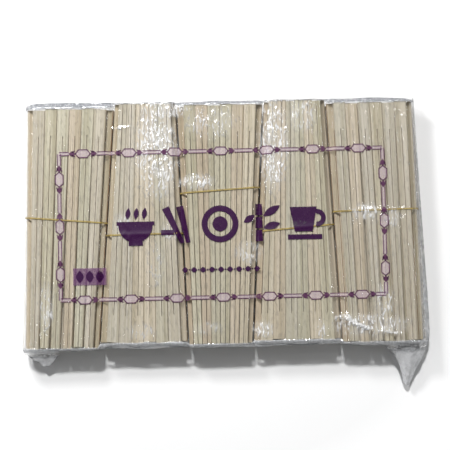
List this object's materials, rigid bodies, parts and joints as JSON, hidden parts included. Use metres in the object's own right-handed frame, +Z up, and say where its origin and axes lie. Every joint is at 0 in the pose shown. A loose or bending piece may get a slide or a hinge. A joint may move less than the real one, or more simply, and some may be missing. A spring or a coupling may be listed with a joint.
{
  "type": "sealed pack of bamboo chopsticks",
  "caption": "Clear sealed bag of tapered bamboo twin chopsticks in rubber-banded bundles laid head to tail, with a purple printed border.",
  "frame": {"origin": "middle of the flat underside, between the pack's two long ends and its two sides", "axes": "+X across the bundles to the right of the printed face, +Y along the sticks to the top of the printed face, +Z up out of the printed face"},
  "size_m": [0.3485, 0.2494, 0.0315],
  "materials": {
    "bamboo": "planed, unfinished bamboo",
    "band_rubber": "matt, golden yellow",
    "film": "clear glossy polypropylene film with purple print"
  },
  "bodies": {
    "root": {"bundle_1_row_1": "bamboo", "bundle_1_row_2": "bamboo", "bundle_1_row_3": "bamboo", "bundle_1_row_4": "bamboo", "bundle_1_row_5": "bamboo", "bundle_1_row_6": "bamboo", "bundle_2_row_1": "bamboo", "bundle_2_row_2": "bamboo", "bundle_2_row_3": "bamboo", "bundle_2_row_4": "bamboo", "bundle_2_row_5": "bamboo", "bundle_2_row_6": "bamboo", "bundle_3_row_1": "bamboo", "bundle_3_row_2": "bamboo", "bundle_3_row_3": "bamboo", "bundle_3_row_4": "bamboo", "bundle_3_row_5": "bamboo", "bundle_3_row_6": "bamboo", "bundle_4_row_1": "bamboo", "bundle_4_row_2": "bamboo", "bundle_4_row_3": "bamboo", "bundle_4_row_4": "bamboo", "bundle_4_row_5": "bamboo", "bundle_4_row_6": "bamboo", "bundle_5_row_1": "bamboo", "bundle_5_row_2": "bamboo", "bundle_5_row_3": "bamboo", "bundle_5_row_4": "bamboo", "bundle_5_row_5": "bamboo", "bundle_5_row_6": "bamboo", "bundle_1_band": "band_rubber", "bundle_2_band": "band_rubber", "bundle_3_band": "band_rubber", "bundle_4_band": "band_rubber", "bundle_5_band": "band_rubber", "bag": "film", "right_seal": "film", "left_seal": "film"}
  },
  "joints": []
}
